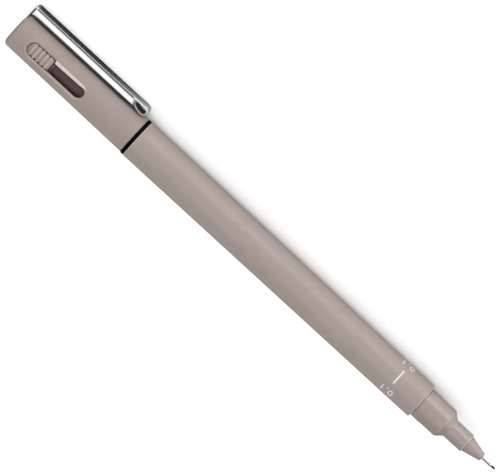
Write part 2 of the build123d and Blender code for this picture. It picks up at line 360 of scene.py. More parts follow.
soft_panel("overhead panel", turn=0, height=82, distance=0.9, length=0.8, width=0.3, radiance=0.4)
soft_panel("front panel", turn=0, height=3.1, distance=0.8, length=1.2, width=0.095, radiance=10.0)
soft_panel("nib panel", turn=66, height=5, distance=0.8, length=0.6, width=0.3, radiance=2.8)
soft_panel(
    "far panel", turn=180, height=25, distance=0.9, length=1.2, width=0.3, radiance=2.7, mirrored=False)

# %% [markdown]
# ## Surfaces from grids
#
# Every new piece is a grid of points, a function of two parameters, so numpy can work out all its points
# at once. A piece may need several grids that meet edge to edge: they are put into one mesh, the points
# that meet are welded, and the faces are turned outwards. Where a grid narrows to a pole or a straight
# line, welding closes it too. Each point also carries a value of wear and painted light: materials use it
# to pale the edges, partly as wear and partly as a painted highlight, and to paint dark lines on metal.

# %% Grids
def grid(x, q, p):
    """Points from their places along the pen, to the window and to the clip, each an array or one number."""
    return np.stack(np.broadcast_arrays(x, q, p), -1)


def patch(points, wear_and_light=0.0, loop_rows=False, loop_columns=False, keep=None):
    """A grid of points (rows, columns, 3) with one four-cornered face per cell; keep drops cells."""
    rows, columns, _ = points.shape
    cell_rows, cell_columns = rows - (not loop_rows), columns - (not loop_columns)
    i, j = np.meshgrid(np.arange(cell_rows), np.arange(cell_columns), indexing="ij")
    up, right = (i + 1) % rows, (j + 1) % columns
    faces = np.stack((i * columns + j, up * columns + j, up * columns + right, i * columns + right), -1)
    faces = faces.reshape(-1, 4) if keep is None else faces[keep]
    return points.reshape(-1, 3), np.broadcast_to(wear_and_light, (rows, columns)).ravel(), faces


sheet_faces, ring_faces = (len(patch(np.zeros((3, 4, 3)), loop_columns=loop)[2]) for loop in (False, True))
print(f"a grid of 3 by 4 points has {sheet_faces} faces, or {ring_faces} where its columns close a ring")

# %% Pieces
weld = 1e-7
sharp_angle = radians(38)


def make_piece(name, patches):
    """One object from patches in the pen's axes: welded, closed, faces outwards, smooth except at folds."""
    counts = [len(points) for points, _, _ in patches]
    starts = np.cumsum([0] + counts[:-1])
    points = to_row(np.concatenate([points for points, _, _ in patches]))
    wear_and_light = np.concatenate([wear_and_light for _, wear_and_light, _ in patches])
    faces = np.concatenate([faces + start for (_, _, faces), start in zip(patches, starts)])
    mesh = bpy.data.meshes.new(name)
    mesh.vertices.add(len(points))
    mesh.vertices.foreach_set("co", points.ravel())
    mesh.loops.add(faces.size)
    mesh.loops.foreach_set("vertex_index", faces.ravel())
    mesh.polygons.add(len(faces))
    mesh.polygons.foreach_set("loop_start", np.arange(0, faces.size, 4))
    mesh.update(calc_edges=True)
    # The value carries edge wear, painted highlights and painted dark lines.
    mesh.attributes.new("wear_and_light", "FLOAT", "POINT").data.foreach_set("value", wear_and_light)
    work = bmesh.new()
    work.from_mesh(mesh)
    bmesh.ops.remove_doubles(work, verts=work.verts, dist=weld)
    bmesh.ops.dissolve_degenerate(work, edges=work.edges, dist=weld)
    bmesh.ops.recalc_face_normals(work, faces=work.faces)
    work.to_mesh(mesh)
    work.free()
    mesh.shade_smooth()
    mesh.set_sharp_from_angle(angle=sharp_angle)
    edges = np.empty(len(mesh.loops), np.int32)
    mesh.loops.foreach_get("edge_index", edges)
    open_edges = np.count_nonzero(np.bincount(edges) != 2)
    print(f"{name}: {len(mesh.polygons)} faces, {open_edges} open edges")
    piece = bpy.data.objects.new(name, mesh)
    bpy.context.scene.collection.objects.link(piece)
    return piece


def dress(piece, finish, body, slot, *nodes):
    """Gives a piece its material, the body that it moves with, and the CAD nodes it stands for. The slot is
    not used.
    """
    piece.data.materials.append(finish)
    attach(piece, body)
    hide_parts(*nodes)


# %% [markdown]
# ## Turned pieces
#
# Barrel, section, tip, nib and plug are all turned shapes. Blender has a Screw modifier for these, but a
# formula gives closed, even grids. Real mouldings have no knife edges, and a small round on each corner
# is what catches the light, so the outline is drawn as corners that each carry a round radius.

# %% Outlines
holding = 0.15
tiny, least_swing = 1e-9, 1e-6


def rounded(corners, closed=False, steps=7):
    """Outline through (station, radius, round) corners.

    Each corner gives way to the arc of its round radius that touches both of its sides. The arc's ends lie
    round / tan(half angle) from the corner, and its points swing evenly about its centre from one end to the
    other. A holding point just outside each end keeps the shading of the flat sides flat.
    Returns the points, and a value of worn and painted light: 1 in the middle of an arc that stands out, 0
    elsewhere."""
    corners = np.array(corners, float)
    place, size = corners[:, :2], corners[:, 2:]
    if not closed:
        size[[0, -1]] = 0
    back = np.roll(place, 1, axis=0) - place
    ahead = np.roll(place, -1, axis=0) - place
    side = np.minimum(np.linalg.norm(back, axis=1), np.linalg.norm(ahead, axis=1))[:, None]
    back_way = back / np.linalg.norm(back, axis=1, keepdims=True)
    ahead_way = ahead / np.linalg.norm(ahead, axis=1, keepdims=True)
    half = np.arccos(np.clip((back_way * ahead_way).sum(1, keepdims=True), -1, 1)) / 2
    touch = size / np.tan(half)
    middle = back_way + ahead_way
    middle = middle / np.maximum(np.linalg.norm(middle, axis=1, keepdims=True), tiny)
    centre = place + middle * size / np.sin(half)
    swing = np.maximum(np.pi - 2 * half, least_swing)[:, None]
    share = np.linspace(0, 1, steps)[None, :, None]
    first = (place + back_way * touch - centre)[:, None]
    last = (place + ahead_way * touch - centre)[:, None]
    swung = np.sin((1 - share) * swing) * first + np.sin(share * swing) * last
    arc = centre[:, None] + swung / np.sin(swing)
    hold = np.where(size > 0, np.minimum(holding, (side - touch) / 4), 0)
    before = (arc[:, 0] + back_way * hold)[:, None]
    after = (arc[:, -1] + ahead_way * hold)[:, None]
    points = np.concatenate((before, arc, after), axis=1)
    bend = back[:, 1] * ahead[:, 0] - back[:, 0] * ahead[:, 1]
    area = (place[:, 0] * np.roll(place[:, 1], -1) - place[:, 1] * np.roll(place[:, 0], -1)).sum()
    stands_out = ((bend * area > 0) & (size[:, 0] > 0))[:, None]
    wear_and_light = stands_out * np.pad(np.sin(np.pi * share[0, :, 0]), 1)
    points, wear_and_light = points.reshape(-1, 2), wear_and_light.ravel()
    fresh = np.linalg.norm(points - np.roll(points, 1, axis=0), axis=1) > tiny
    fresh[0] |= not closed
    return points[fresh], wear_and_light[fresh]


square, _ = rounded([(0, 1, 0.2), (0, 2, 0.2), (1, 2, 0.2), (1, 1, 0.2)], closed=True)
print("a square with four rounded corners takes", len(square), "points")

# %% Lathe
around = np.linspace(0, 2 * np.pi, 192, endpoint=False)
# Rims near a given station get this gain: a painted highlight.
rim_highlight_gain = 3


def revolve(outline, angles):
    """Surface of revolution: the outline's point (x, r) stands at (x, r cos a, r sin a) for every angle a."""
    x, r = outline.T[:, :, None]
    return grid(x, r * np.cos(angles), r * np.sin(angles))


def turned(corners, closed=False, highlight_at=None, highlight_reach=0.0):
    """An outline with rounded corners, revolved. Edges that lie within the given reach of the given station
    have
    their value raised by a set gain: a painted highlight on that rim."""
    outline, wear_and_light = rounded(corners, closed)
    if highlight_at is not None:
        wear_and_light = wear_and_light * np.where(np.abs(outline[:, 0] - highlight_at) < highlight_reach, rim_highlight_gain, 1)
    return patch(revolve(outline, around), wear_and_light[:, None], loop_rows=closed, loop_columns=True)


print(f"turned pieces have {len(around)} faces round")

# %% [markdown]
# ## Satin plastic
#
# The body is one warm grey plastic with a satin skin. A single grey would look like a drawing, so the
# colour drifts a little from place to place, the skin has a fine moulded grain that breaks up the gloss,
# faint rubs run along the pen, and the edges are painted paler, partly as wear and partly as a painted
# highlight. One function makes it, because the front section will want the same plastic smoother, and the
# cap will want it duller.

# %% Satin plastic
worn_gloss = -0.12


def satin_plastic(name, colour, worn_and_highlight, shine, dull, clean):
    """Moulded plastic: drifting colour, fine grain, rubs along the pen, and smoother edges painted paler, as
    worn and as a highlight.

    Its roughness lies between dull and clean."""
    material, tree, shader = new_material(name, Specular_IOR_Level=shine)
    place = place_on(tree)
    drift = noise(tree, place, scale=260, detail=3.0)
    rubs = streaks(tree, place, along_scale=25.0, across_scale=900.0, detail=3.0, rough=0.65)
    grain = noise(tree, place, scale=6500, detail=2.0)
    darker, paler = tinted(colour, 0.97), tinted(colour, 1.03)
    skin = mix(tree, spread(tree, drift, low=0, high=1), darker, paler)
    # Edges are painted paler, partly as wear and partly as a painted highlight.
    worn_and_highlight_share = combine(tree, "MULTIPLY", wear_and_light_on(tree), spread(tree, drift, low=0.2, high=0.36))
    tree.links.new(mix(tree, worn_and_highlight_share, skin, worn_and_highlight), shader.inputs["Base Color"])
    gloss = combine(tree, "MULTIPLY_ADD", worn_and_highlight_share, worn_gloss, spread(tree, rubs, dull, clean))
    tree.links.new(gloss, shader.inputs["Roughness"])
    roughen(tree, shader, grain, strength=0.12, distance=0.00003)
    return material


# The worn colour is near white: partly wear, partly a painted highlight.
body_colour, worn_and_highlight_colour = paint(173, 158, 152), paint(250, 240, 234)
body_plastic = satin_plastic("warm grey plastic", body_colour, worn_and_highlight_colour, shine=0.85, dull=0.55, clean=0.49)
print("body colour, linear:", np.round(body_colour, 3))

# %% [markdown]
# ## Barrel
#
# The barrel is a tube that swells a little from the shoulder to the tail. It could be a cylinder with
# Solidify and Bevel modifiers, but those round every edge alike. Drawn as an outline, its front rim can
# be softer than its rear rim, whose bright line beside the black ring is a painted highlight.

# %% Barrel
front_r = 4.85
barrel_wall = 0.9
insert_end, plug_start = 14.0, 81.5
tail_rim = 0.3
barrel_corners = [
    (x_shoulder, front_r - barrel_wall, 0.1),
    (x_shoulder, front_r, 0.3),
    (x_tail, tail_r, 0.22),
    (x_tail, tail_r - barrel_wall, 0.1),
    (plug_start, tail_r - barrel_wall, 0),
    (insert_end, front_r - barrel_wall, 0),
]
barrel_skin = turned(barrel_corners, closed=True, highlight_at=x_tail, highlight_reach=tail_rim)
barrel = make_piece("barrel_tube", [barrel_skin])
dress(barrel, body_plastic, "barrel", "body_plastic", "barrel")

# %% [markdown]
# ## Front section
#
# In front of the shoulder a fine relief groove parts the barrel from the cap seat, and the seat carries a
# low bead that the cap clicks over. A short cone leads to the slim nose, whose chamfered rim is painted
# pale as a painted highlight. All of it is one moulding, so it is one outline. The bead is a squared sine
# laid over the seat's taper, because that leaves the seat and meets it again without a corner. The
# moulding is smoother than the barrel and a little darker.

# %% Front section
section_back = 12.0
insert_r, socket_r = 3.94, 3.3
bead_high, bead_from, bead_to = 0.09, -1.5, -3.6
relief, relief_r = 0.22, 3.97
grip_r, x_cone, x_nose, socket_step = 4.08, -7.75, -9.4, 3.5
nose_r, nose_end_r, stem_bore = 2.6, 2.56, 1.51
chamfer_long, chamfer_deep, nose_rim = 0.28, 0.26, 0.5
x_socket_floor = x_nose + socket_step
bead_share = np.linspace(0, 1, 15)
bead_x = bead_from + (bead_to - bead_from) * bead_share
bead_line = seat_r + (grip_r - seat_r) * bead_share + bead_high * np.sin(np.pi * bead_share) ** 2
section_corners = [
    (section_back, socket_r, 0),
    (section_back, insert_r, 0.1),
    (x_shoulder, relief_r, 0),
    (x_shoulder - relief, relief_r, 0.04),
    (x_shoulder - relief, seat_r, 0.06),
    *((x, r, 0) for x, r in zip(bead_x, bead_line)),
    (x_cone, grip_r, 0.5),
    (x_nose, nose_r, 0.5),
    (x_nose_end + chamfer_long, nose_end_r, 0.35),
    (x_nose_end, nose_end_r - chamfer_deep, 0.3),
    (x_nose_end, stem_bore, 0),
    (x_socket_floor, stem_bore, 0),
    (x_socket_floor, socket_r, 0),
]
section_skin = turned(section_corners, closed=True, highlight_at=x_nose_end, highlight_reach=nose_rim)
section = make_piece("front_section", [section_skin])
# The section's paler edge colour is partly wear and partly a painted highlight.
smooth_colour, smooth_worn_and_highlight = paint(165, 149, 142), paint(210, 197, 191)
smooth_plastic = satin_plastic(
    "smooth grey plastic", smooth_colour, smooth_worn_and_highlight, shine=1.4, dull=0.48, clean=0.42)
dress(section, smooth_plastic, "barrel", "body_plastic", "section")

# %% [markdown]
# ## Tip cone
#
# The tip stands in the nose on a stem and holds the nib. Where the two mouldings meet, the real pen shows
# a fine dark line. A painted line would stay dark in any light, so the outline has a small groove at the
# cone's foot, and the light draws the line.

# %% Tip cone
x_tip_end, x_stem_end, tip_base_r = reach("tip_cone")
tip_end_r, stem_r = 1.05, 1.5
tip_groove, tip_neck_r, neck_depth = 0.13, 2.0, 0.05
tip_slope = (tip_base_r - tip_end_r) / (x_nose_end - x_tip_end)
tip_corners = [
    (x_tip_end, 0, 0),
    (x_tip_end, tip_end_r, 0.28),
    (x_nose_end - tip_groove, tip_base_r - tip_slope * tip_groove, 0.04),
    (x_nose_end - tip_groove, tip_neck_r, 0),
    (x_nose_end + neck_depth, tip_neck_r, 0),
    (x_nose_end + neck_depth, stem_r, 0),
    (x_stem_end, stem_r, 0.1),
    (x_stem_end, 0, 0),
]
tip = make_piece("tip_cone_cover", [turned(tip_corners)])
dress(tip, smooth_plastic, "barrel", "body_plastic", "tip_cone")

# %% [markdown]
# ## Black plug
#
# The tail plug closes the barrel. Only the edge of its flange shows, as the black ring, until the cap is
# pulled off its post. It could be painted plain black, but black plastic looks real only if a drifting
# gloss and a fine grain still show its shape.

# %% Black plastic and tail plug
deep_black, dusty_black = (0.0006, 0.0005, 0.0005, 1), (0.002, 0.0017, 0.0016, 1)


def black_plastic(name, clean, dull):
    """Black plastic: nearly no colour, a roughness that drifts from clean to dull, and a fine grain."""
    material, tree, shader = new_material(name, Specular_IOR_Level=0.04)
    place = place_on(tree)
    drift = noise(tree, place, scale=300)
    grain = noise(tree, place, scale=5000)
    tree.links.new(mix(tree, drift, deep_black, dusty_black), shader.inputs["Base Color"])
    tree.links.new(spread(tree, drift, clean, dull), shader.inputs["Roughness"])
    roughen(tree, shader, grain, strength=0.1, distance=0.00003)
    return material


x_plug_front, x_post_end, flange_r = reach("tail_plug")
x_flange_rear = 94.45
plug_r, plug_bore, plug_floor = 4.42, 3.3, 92.95
post_wall = 0.9
post_bore = seat_r - post_wall
plug_corners = [
    (plug_floor, 0, 0),
    (plug_floor, plug_bore, 0.1),
    (x_plug_front, plug_bore, 0.1),
    (x_plug_front, plug_r, 0.2),
    (x_tail, plug_r, 0),
    (x_tail, flange_r, 0.06),
    (x_flange_rear, flange_r, 0.08),
    (x_flange_rear, seat_r, 0.05),
    (x_post_end, seat_r, 0.4),
    (x_post_end, post_bore, 0.1),
    (x_flange_rear, post_bore, 0.2),
    (x_flange_rear, 0, 0),
]
plug = make_piece("tail_ring_and_post", [turned(plug_corners)])
ring_black = black_plastic("black plastic", clean=0.32, dull=0.46)
dress(plug, ring_black, "barrel", "tail_plastic", "tail_plug")

# %% [markdown]
# ## Bright metal
#
# A drawn steel tube holds the writing core. Drawing leaves fine lines along the tube, so the metal is
# nearly a mirror but its gloss is streaked. Anisotropic gloss could fake such lines, but noise drawn out
# along the pen gives real ones. The same finish, smoother, will do for the polished clip, with two
# additions: the edges that the wear value marks are painted dark as a painted reflection, and handling
# may dull the gloss.

# %% Bright metal
# Marked metal edges are painted dark with this colour: a painted dark reflection.
dark_line_steel, dark_line_rough = (0.05, 0.05, 0.055, 1), 0.3


def bright_metal(name, colour, clean, dull, handling=None):
    """Metal with fine lines along the pen: its roughness drifts from clean to dull, and the lines are felt.

    Marked edges are painted dark as a painted reflection, and rougher.
    Handling, a function of the tree and the place, adds roughness."""
    material, tree, shader = new_material(name, Metallic=1.0)
    place = place_on(tree)
    film = noise(tree, place, scale=350, detail=3.0)
    lines = streaks(tree, place, along_scale=60.0, across_scale=9000.0, detail=2.0)
    dark_line = wear_and_light_on(tree)
    skin = mix(tree, film, colour, tinted(colour, 0.93))
    tree.links.new(mix(tree, dark_line, skin, dark_line_steel), shader.inputs["Base Color"])
    gloss = combine(tree, "MULTIPLY_ADD", dark_line, dark_line_rough, spread(tree, film, clean, dull))
    if handling:
        gloss = combine(tree, "ADD", gloss, handling(tree, place))
    tree.links.new(gloss, shader.inputs["Roughness"])
    roughen(tree, shader, lines, strength=0.06, distance=0.00001)
    return material


drawn_steel = bright_metal("drawn steel", (0.58, 0.57, 0.56, 1), clean=0.08, dull=0.14)
print(f"drawn steel: {len(drawn_steel.node_tree.nodes)} nodes")

# %% [markdown]
# ## Steel sleeve and writing core
#
# The sleeve is a bare tube under a millimetre thick, and the core in it is black, dull with ink and worn
# round at its end. Both are so small that only their end rounds show, so a turned outline of four corners
# is enough.

# %% Sleeve and core
x_sleeve_end, x_sleeve_root, sleeve_r = reach("nib_sleeve")
x_core_end, x_core_root, core_r = reach("nib")
sleeve_corners = [
    (x_sleeve_end, core_r, 0),
    (x_sleeve_end, sleeve_r, 0.05),
    (x_sleeve_root, sleeve_r, 0),
    (x_sleeve_root, core_r, 0),
]
sleeve = make_piece("nib_tube", [turned(sleeve_corners, closed=True)])
dress(sleeve, drawn_steel, "barrel", "sleeve_steel", "nib_sleeve")
core_corners = [
    (x_core_end, 0, 0),
    (x_core_end, core_r, 0.16),
    (x_core_root, core_r, 0),
    (x_core_root, 0, 0),
]
core = make_piece("writing_core", [turned(core_corners)])
dress(core, black_plastic("inky black", clean=0.75, dull=0.9), "barrel", "nib_core", "nib")

# %% [markdown]
# ## Cap shell
#
# The cap is turned too, but a long window with a bevelled rim goes through its side, and its closed end
# has a shallow pocket for the clip. A Boolean modifier could cut both, at the price of ragged faces just
# where the light catches the bevel. Instead, a block of cells is left out of the turned grid, and a grid
# that closes into a ring leads from that block's edge to the window's outline, over the bevel, down the
# wall and back to the inside. So the columns round the cap are chosen to fit: they stop at the block's
# edges and at the pocket's.

# %% Cap: rows, columns and the wall's taper
x_mouth, x_end, mouth_r = reach("cap_shell")
end_r, end_round, rim_r = 4.93, 1.2, 4.85
window_front, window_rear, window_half, window_aside = 110.0, 128.0, 1.85, -0.1
block_front, block_rear, block_half = 108.6, 129.4, radians(35.5)
pocket_half, pocket_start, pocket_floor = 2.15, 2.15, 132.57
long_cells, short_cells = 72, 20
gap_cells, fan_cells, pocket_cells, plain_cells = 2, 9, 18, 60


def taper(x):
    """Outer radius of the cap's wall: a straight line from its mouth to its end."""
    return mouth_r + (x - x_mouth) / (x_end - x_mouth) * (end_r - mouth_r)


pocket_turn = np.arccos(pocket_half / rim_r)
fan_turn = radians(40)
stops = np.array((-block_half, block_half, fan_turn, pocket_turn, np.pi - pocket_turn, np.pi - fan_turn))
spans = np.diff(np.append(stops, 2 * np.pi - block_half))
cells = np.array((short_cells, gap_cells, fan_cells, pocket_cells, fan_cells, plain_cells))
cap_angles = np.concatenate([a + w * np.arange(n) / n for a, w, n in zip(stops, spans, cells)])
block_rows = np.linspace(block_front, block_rear, long_cells + 1)
print(f"cap: {len(cap_angles)} columns, window {window_rear - window_front:.1f} mm long")

# %% Cap: turned walls
seat_bore, cap_bore, x_bore_step, x_inner_end = 4.2, 4.0, 105.03, 131.6
round_centre = x_end - end_round
round_turn = np.linspace(0, np.arccos((rim_r - end_r + end_round) / end_round), 6)
round_x = round_centre + end_round * np.sin(round_turn)
round_r = end_r - end_round + end_round * np.cos(round_turn)
cap_corners = [
    (x_inner_end, 0, 0),
    (x_inner_end, cap_bore, 0.3),
    *((x, cap_bore, 0) for x in block_rows[::-1]),
    (x_bore_step, cap_bore, 0),
    (x_bore_step, seat_bore, 0),
    (x_mouth, seat_bore, 0.12),
    (x_mouth, mouth_r, 0.12),
    *((x, taper(x), 0) for x in block_rows),
    *((x, r, 0) for x, r in zip(round_x, round_r)),
]
outline, wear_and_light = rounded(cap_corners)
cell_middle = (outline[1:, 0] + outline[:-1, 0]) / 2
in_rows = (cell_middle > block_front) & (cell_middle < block_rear)
in_columns = np.arange(len(cap_angles)) < short_cells
left_out = in_rows[:, None] & in_columns
cap_walls = patch(revolve(outline, cap_angles), wear_and_light[:, None], loop_columns=True, keep=~left_out)
print(f"cap walls: {len(outline)} rows, {np.count_nonzero(left_out)} cells left out for the window")

# %% [markdown]
# The window's outline is a slot: two straight sides between two half circles. The ring that fills the
# left-out block has as many columns as the block's edge has cells, so each cell on the edge gets one
# point on the slot. They are shared out by length, so that they stand evenly on the rim.

# %% Cap: window outline
bevel = 0.45
straight = np.array((window_front + window_half, window_rear - window_half))
mid_half = window_half + bevel / 2
eighth = np.pi / 4      # of a turn
side_share = np.arange(long_cells) / long_cells
end_share = np.arange(short_cells) / short_cells
side_length = np.cumsum((0, eighth * mid_half, straight[1] - straight[0], eighth * mid_half))
side_turn = np.interp(side_share * side_length[3], side_length, eighth * np.array((3, 2, 2, 1)))
side_centre = np.interp(side_share * side_length[3], side_length, straight[[0, 0, 1, 1]])
rear_turn, front_turn = eighth * (1 - 2 * end_share), -eighth * (3 + 2 * end_share)
front_centre, rear_centre = (np.full(short_cells, centre) for centre in straight)
rim_turn = np.concatenate((side_turn, rear_turn, side_turn - np.pi, front_turn))
rim_centre = np.concatenate((side_centre, rear_centre, straight.sum() - side_centre, front_centre))


def window_rim(half):
    """Outline of the window at a half width: straight sides between two half circles of that radius."""
    return rim_centre + half * np.cos(rim_turn), window_aside + half * np.sin(rim_turn)


def block_edge(radius):
    """Edge of the left-out block on a wall of the given radius, as stations and widths across."""
    rear, front = np.full(short_cells, block_rear), np.full(short_cells, block_front)
    x = np.concatenate((block_rows[:-1], rear, block_rows[:0:-1], front))
    side, end = np.full(long_cells, block_half), block_half * (1 - 2 * end_share)
    return x, radius(x) * np.sin(np.concatenate((side, end, -side, -end)))


print(f"window rim: {len(rim_turn)} points")

# %% [markdown]
# A bevel runs round the rim. On the clip's side, beside the open part of the window, the real cap shows
# more: a broad facet, wider towards the rear, that catches the light as a white stripe. It is made from
# the same rim, drawn in and let down there, and a high value paints it near white: a painted highlight,
# as on the rest of the bevel.

# %% Cap: window bevel
facet_front, facet_back, facet_edge = 0.6, 0.85, 0.28
facet_drop, facet_rear = 0.3, 120.4
lead_in, lower_round, wall_below, slack = 0.35, 0.1, 0.3, 0.02
bevel_highlight_share, facet_highlight = 0.5, 3.4


def between(first, second, count):
    """Rows that lead evenly from one outline to another."""
    share = np.linspace(0, 1, count)[:, None]
    return [a + (b - a) * share for a, b in zip(first, second)]


bevel_corners = [
    (bevel + lead_in, 0, 0),
    (bevel, 0, 0.14),
    (0, -bevel, lower_round),
    (0, -bevel - wall_below, 0),
]
bevel_outline, bevel_round_highlight = rounded(bevel_corners)
out, drop = bevel_outline.T[:, :, None]
down_bevel = np.clip((bevel - out) / bevel, 0, 1)
clip_side = np.clip(np.sin(rim_turn), 0, 1) ** 4
rim_x, _ = window_rim(window_half)
towards_front = np.clip((facet_rear - rim_x) / (facet_rear - window_front), 0, 1)
beside_hole = clip_side * (rim_x < facet_rear)
facet = facet_back + (facet_front - facet_back) * towards_front
drawn_in = beside_hole * (facet_edge + (facet - facet_edge) * down_bevel)
lip_x, lip_p = window_rim(window_half + out - drawn_in)
lip_q = np.sqrt(taper(lip_x) ** 2 - lip_p**2) + drop - facet_drop * down_bevel * beside_hole
ring_x, ring_p = between(block_edge(taper), (lip_x[0], lip_p[0]), 7)
ring_q = np.sqrt(taper(ring_x) ** 2 - ring_p**2)
back_x, back_p = between((lip_x[-1], lip_p[-1]), block_edge(lambda x: np.full_like(x, cap_bore)), 4)
back_q = np.sqrt(cap_bore**2 - back_p**2)
window_x = np.concatenate((ring_x, lip_x[1:], back_x))
window_q = np.concatenate((ring_q, lip_q[1:], back_q))
window_p = np.concatenate((ring_p, lip_p[1:], back_p))
on_bevel = (out < bevel + slack) & (drop > -bevel - lower_round)
# The bevel and the broad facet are painted pale: a painted highlight.
rim_highlight = bevel_highlight_share + beside_hole * (facet_highlight + towards_front)
lip_highlight = np.maximum(bevel_round_highlight[:, None], on_bevel) * rim_highlight
window_highlight = np.concatenate((np.zeros_like(ring_x), lip_highlight[1:], np.zeros_like(back_x)))
cap_window = patch(grid(window_x, window_q, window_p), window_highlight, loop_columns=True)
print(f"window: {len(window_x)} rows of {len(rim_turn)} points")

# %% [markdown]
# The closed end is nearly flat, with a round at its edge, and the clip's end plate lies in a pocket that
# runs out through that round. Four grids make it: rays from the middle to the rim, which fan out along
# the pocket's two sides, the pocket's floor, the low wall at its brink, and a disc in the middle. Their
# edges share points, so welding joins them to each other and to the cap's wall.

# %% Cap: closed end with the clip's pocket
inner_r = np.hypot(pocket_half, pocket_start)
rise = np.linspace(0, 1, 15)[:, None]
_, fan_first, pocket_first, pocket_last, plain_first, _ = np.cumsum(cells)


def end_station(q, p):
    """Station of the closed end above a point: flat in the middle, falling along the end's round outside."""
    beyond = np.clip(np.hypot(q, p) - (end_r - end_round), 0, end_round)
    return round_centre + np.sqrt(end_round**2 - beyond**2)


def pocket_line(q):
    """Way out along the pocket at a place across it, with one stop where its floor meets the end's round."""
    drop = pocket_floor - round_centre
    floor_r = end_r - end_round + np.sqrt(end_round**2 - drop**2)
    stop = rise[-4, 0]
    floor_end, rim_end = np.sqrt(floor_r**2 - q**2), np.sqrt(rim_r**2 - q**2)
    inside = pocket_start + (floor_end - pocket_start) * np.minimum(rise / stop, 1)
    return inside + (rim_end - floor_end) * np.clip((rise - stop) / (1 - stop), 0, 1)


fan_share = np.arange(fan_cells + 1) / fan_cells
ray_r = inner_r + rise * (rim_r - inner_r)
wall_p = pocket_line(np.array((pocket_half,)))
fan_r = ray_r + fan_share * (np.hypot(pocket_half, wall_p) - ray_r)
fan_angle = fan_turn + fan_share * (np.arctan2(wall_p, pocket_half) - fan_turn)
fan_q, fan_p = fan_r * np.cos(fan_angle), fan_r * np.sin(fan_angle)
next_turn = np.append(cap_angles[:fan_first], fan_turn) + 2 * np.pi
plain_angle = np.concatenate((cap_angles[plain_first:], next_turn))
plain_q, plain_p = ray_r * np.cos(plain_angle), ray_r * np.sin(plain_angle)
end_q = np.concatenate((-fan_q[:, ::-1], plain_q, fan_q), 1)
end_p = np.concatenate((fan_p[:, ::-1], plain_p, fan_p), 1)
cap_face = patch(grid(end_station(end_q, end_p), end_q, end_p))
pocket_q = rim_r * np.cos(np.append(cap_angles[pocket_first:pocket_last], np.pi - pocket_turn))
pocket_p = pocket_line(pocket_q)
pocket_q = np.broadcast_to(pocket_q, pocket_p.shape)
sunk = np.minimum(end_station(pocket_q, pocket_p), pocket_floor)
cap_pocket = patch(grid(sunk, pocket_q, pocket_p))
brink_q = np.concatenate((pocket_q[::-1, 0], pocket_q[0], pocket_q[:, -1]))
brink_p = np.concatenate((pocket_p[::-1, 0], pocket_p[0], pocket_p[:, -1]))
brink_high = end_station(brink_q, brink_p)
brink_x = np.stack((brink_high, np.minimum(brink_high, pocket_floor)))
cap_brink = patch(grid(brink_x, brink_q, brink_p))
middle_q = np.concatenate((end_q[0], pocket_q[0, 1:-1]))
middle_p = np.concatenate((end_p[0], pocket_p[0, 1:-1]))
shrink = np.linspace(1, 0, 6)[:, None]
cap_middle = patch(grid(x_end, shrink * middle_q, shrink * middle_p), loop_columns=True)
cap = make_piece("cap_with_window", [cap_walls, cap_window, cap_face, cap_pocket, cap_brink, cap_middle])
cap_plastic = satin_plastic("dull grey plastic", body_colour, worn_and_highlight_colour, shine=0.45, dull=0.62, clean=0.56)
dress(cap, cap_plastic, "cap", "body_plastic", "cap_shell")

# %% [markdown]
# ## Lining plastic
#
# Inside the cap sits a cup that seals the nib, and from it a tongue carries a ribbed pad up into the
# window. The pad has the body's grey, and the photograph shows what lies deeper in the window as a warm
# dark brown; here that darkness is painted shade. Two materials would need a seam where the real piece
# has none, so one material is painted darker with depth below the cap's surface, and a little noise keeps
# that border of painted shade from being a clean line.

# %% Lining plastic
# The ribs' crests are painted this paler colour: a painted highlight.
rib_highlight_colour = paint(212, 199, 192)
# Between these radii the lining is painted darker downwards as painted shade; the noise moves that border.
well_r, crown_r, shade_edge_wobble = 0.0042, 0.0047, 0.0003


def lining_plastic(name, crown, well_shade):
    """The body's plastic where it nears the cap's surface, and below it a painted shade of dark warm brown.
    """
    material, tree, shader = new_material(name, Specular_IOR_Level=0.3)
    place = place_on(tree)
    across = add_node(tree, "SeparateXYZ", {0: place}).outputs
    flat = add_node(tree, "CombineXYZ", {"Y": across["Y"], "Z": across["Z"]}).outputs["Vector"]
    radius = add_node(tree, "VectorMath", {0: flat}, operation="LENGTH").outputs["Value"]
    drift = noise(tree, place, scale=400, detail=3.0)
    grain = noise(tree, place, scale=4000)
    # Painted shade: the colour darkens with depth below the cap's surface.
    height = combine(tree, "MULTIPLY_ADD", drift, shade_edge_wobble, radius)
    colour = mix(tree, spread(tree, height, 0, 1, well_r, crown_r), well_shade, crown)
    tree.links.new(mix(tree, wear_and_light_on(tree), colour, rib_highlight_colour), shader.inputs["Base Color"])
    tree.links.new(spread(tree, drift, low=0.38, high=0.52), shader.inputs["Roughness"])
    roughen(tree, shader, grain, strength=0.1, distance=0.00003)
    return material


lining = lining_plastic("warm grey lining", crown=paint(170, 154, 147), well_shade=paint(94, 74, 69))
print(f"lining: {len(lining.node_tree.nodes)} nodes")

# %% [markdown]
# ## Sealing cup and tongue
#
# The cup is turned, with a wide rim that sits in the cap's bore. The tongue is a strip of the same round
# wall, cut out along the pen. It could be cut from a tube with a Boolean, but its outline is just an
# outer and an inner arc, carried along the pen and drawn together at both ends to close it.

